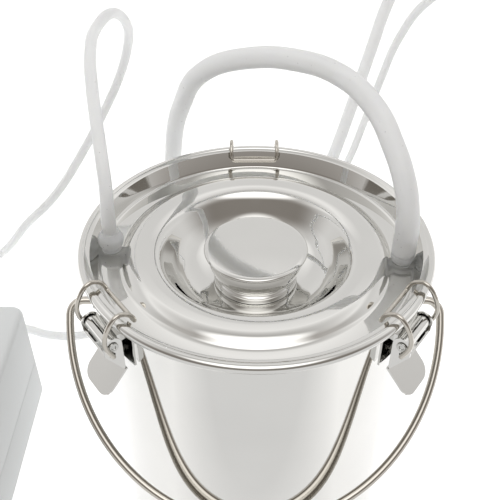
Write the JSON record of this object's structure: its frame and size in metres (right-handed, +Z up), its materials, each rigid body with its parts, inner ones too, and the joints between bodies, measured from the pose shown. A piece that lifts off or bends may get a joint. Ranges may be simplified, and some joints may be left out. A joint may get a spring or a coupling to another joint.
{
  "type": "milking machine",
  "caption": "Portable bucket milking machine: lidded steel pail with draw latches and bail, vacuum and pulsation unit, hoses and teat-cup cluster.",
  "frame": {"origin": "centre of the pail's flat base, on the surface it stands on", "axes": "+Z up; +X runs from the vacuum port's side of the lid to the milk port's side, with the pump unit on the -X side; the bail hangs towards -Y and one latch is at +Y"},
  "size_m": [0.8184, 0.7481, 0.3654],
  "materials": {
    "polished_steel": "mirror-polished stainless sheet, slightly warm",
    "steel_wire": "drawn and polished stainless wire",
    "brushed_fittings": "satin stainless pressings and nuts",
    "milky_silicone": "translucent milky silicone tube and fittings",
    "case_shell": "pale grey moulded case with a fine texture",
    "black_plastic": "black moulded nylon",
    "clear_plastic": "clear polycarbonate",
    "board": "green circuit board",
    "brass": "turned brass valve"
  },
  "bodies": {
    "root": {"air_distributor": "black_plastic", "bail_ear_left": "polished_steel", "bail_ear_right": "polished_steel", "bucket_body": "polished_steel", "claw_bowl": "clear_plastic", "claw_cap": "brushed_fittings", "control_board": "board", "cup_liner_left": "milky_silicone", "cup_liner_right": "milky_silicone", "cup_shell_left": "polished_steel", "cup_shell_right": "polished_steel", "gauge_case": "black_plastic", "gauge_dial": "case_shell", "gauge_lens": "clear_plastic", "knob_nut": "brushed_fittings", "knob_washer": "milky_silicone", "latch_bracket_back": "polished_steel", "latch_bracket_left": "polished_steel", "latch_bracket_right": "polished_steel", "latch_pin_back": "brushed_fittings", "latch_pin_left": "brushed_fittings", "latch_pin_right": "brushed_fittings", "lid": "polished_steel", "lid_gasket": "milky_silicone", "lid_knob": "polished_steel", "milk_hose": "milky_silicone", "milk_port": "milky_silicone", "milk_port_nut": "milky_silicone", "power_inlet": "black_plastic", "pulsator_valve": "brass", "pulse_barb": "black_plastic", "pulse_hose": "milky_silicone", "pump_base": "case_shell", "pump_cover": "case_shell", "pump_foot_front_left": "black_plastic", "pump_foot_front_right": "black_plastic", "pump_foot_rear_left": "black_plastic", "pump_foot_rear_right": "black_plastic", "pump_head": "black_plastic", "short_milk_tube_left": "milky_silicone", "short_milk_tube_right": "milky_silicone", "short_pulse_tube_left": "milky_silicone", "short_pulse_tube_right": "milky_silicone", "switch_bezel": "black_plastic", "vacuum_barb": "black_plastic", "vacuum_hose": "milky_silicone", "vacuum_motor": "brushed_fittings", "vacuum_port": "milky_silicone", "vacuum_port_nut": "milky_silicone"},
    "lever_back": {"latch_lever_back": "polished_steel"},
    "wire_back": {"latch_wire_back": "steel_wire"},
    "lever_left": {"latch_lever_left": "polished_steel"},
    "wire_left": {"latch_wire_left": "steel_wire"},
    "lever_right": {"latch_lever_right": "polished_steel"},
    "wire_right": {"latch_wire_right": "steel_wire"},
    "bail": {"bail_handle": "steel_wire"},
    "rocker": {"switch_rocker": "black_plastic"},
    "regulator": {"regulator_knob": "black_plastic"},
    "needle": {"gauge_needle": "black_plastic"}
  },
  "joints": [
    {"name": "lever_back_hinge", "type": "hinge", "parent": "root", "child": "lever_back", "pos_m": [0, 0.1205, 0.242], "axis": [1, 0, 0], "range_deg": [0, 150]},
    {"name": "wire_back_hinge", "type": "hinge", "parent": "lever_back", "child": "wire_back", "pos_m": [0, 0.1215, 0.2355], "axis": [1, 0, 0], "range_deg": [-121, 0]},
    {"name": "lever_left_hinge", "type": "hinge", "parent": "root", "child": "lever_left", "pos_m": [-0.09687, -0.07168, 0.242], "axis": [-0.5948, 0.8039, 0], "range_deg": [0, 150]},
    {"name": "wire_left_hinge", "type": "hinge", "parent": "lever_left", "child": "wire_left", "pos_m": [-0.09767, -0.07227, 0.2355], "axis": [-0.5948, 0.8039, 0], "range_deg": [-121, 0]},
    {"name": "lever_right_hinge", "type": "hinge", "parent": "root", "child": "lever_right", "pos_m": [0.09687, -0.07168, 0.242], "axis": [-0.5948, -0.8039, 0], "range_deg": [0, 150]},
    {"name": "wire_right_hinge", "type": "hinge", "parent": "lever_right", "child": "wire_right", "pos_m": [0.09767, -0.07227, 0.2355], "axis": [-0.5948, -0.8039, 0], "range_deg": [-121, 0]},
    {"name": "bail_hinge", "type": "hinge", "parent": "root", "child": "bail", "pos_m": [0, 0, 0.203], "axis": [-1, 0, 0], "range_deg": [0, 129]},
    {"name": "switch_rocker_hinge", "type": "hinge", "parent": "root", "child": "rocker", "pos_m": [-0.3, -0.148, 0.084], "axis": [-1, 0, 0], "range_deg": [0, 16]},
    {"name": "regulator_turn", "type": "hinge", "parent": "root", "child": "regulator", "pos_m": [-0.254, -0.151, 0.084], "axis": [0, -1, 0], "range_deg": [-270, 0]},
    {"name": "needle_turn", "type": "hinge", "parent": "root", "child": "needle", "pos_m": [-0.35, -0.1555, 0.084], "axis": [0, -1, 0], "range_deg": [-270, 0]}
  ],
  "couplings": [
    {"joint": "wire_back_hinge", "follows": "lever_back_hinge", "ratio": -0.8},
    {"joint": "wire_left_hinge", "follows": "lever_left_hinge", "ratio": -0.8},
    {"joint": "wire_right_hinge", "follows": "lever_right_hinge", "ratio": -0.8}
  ]
}
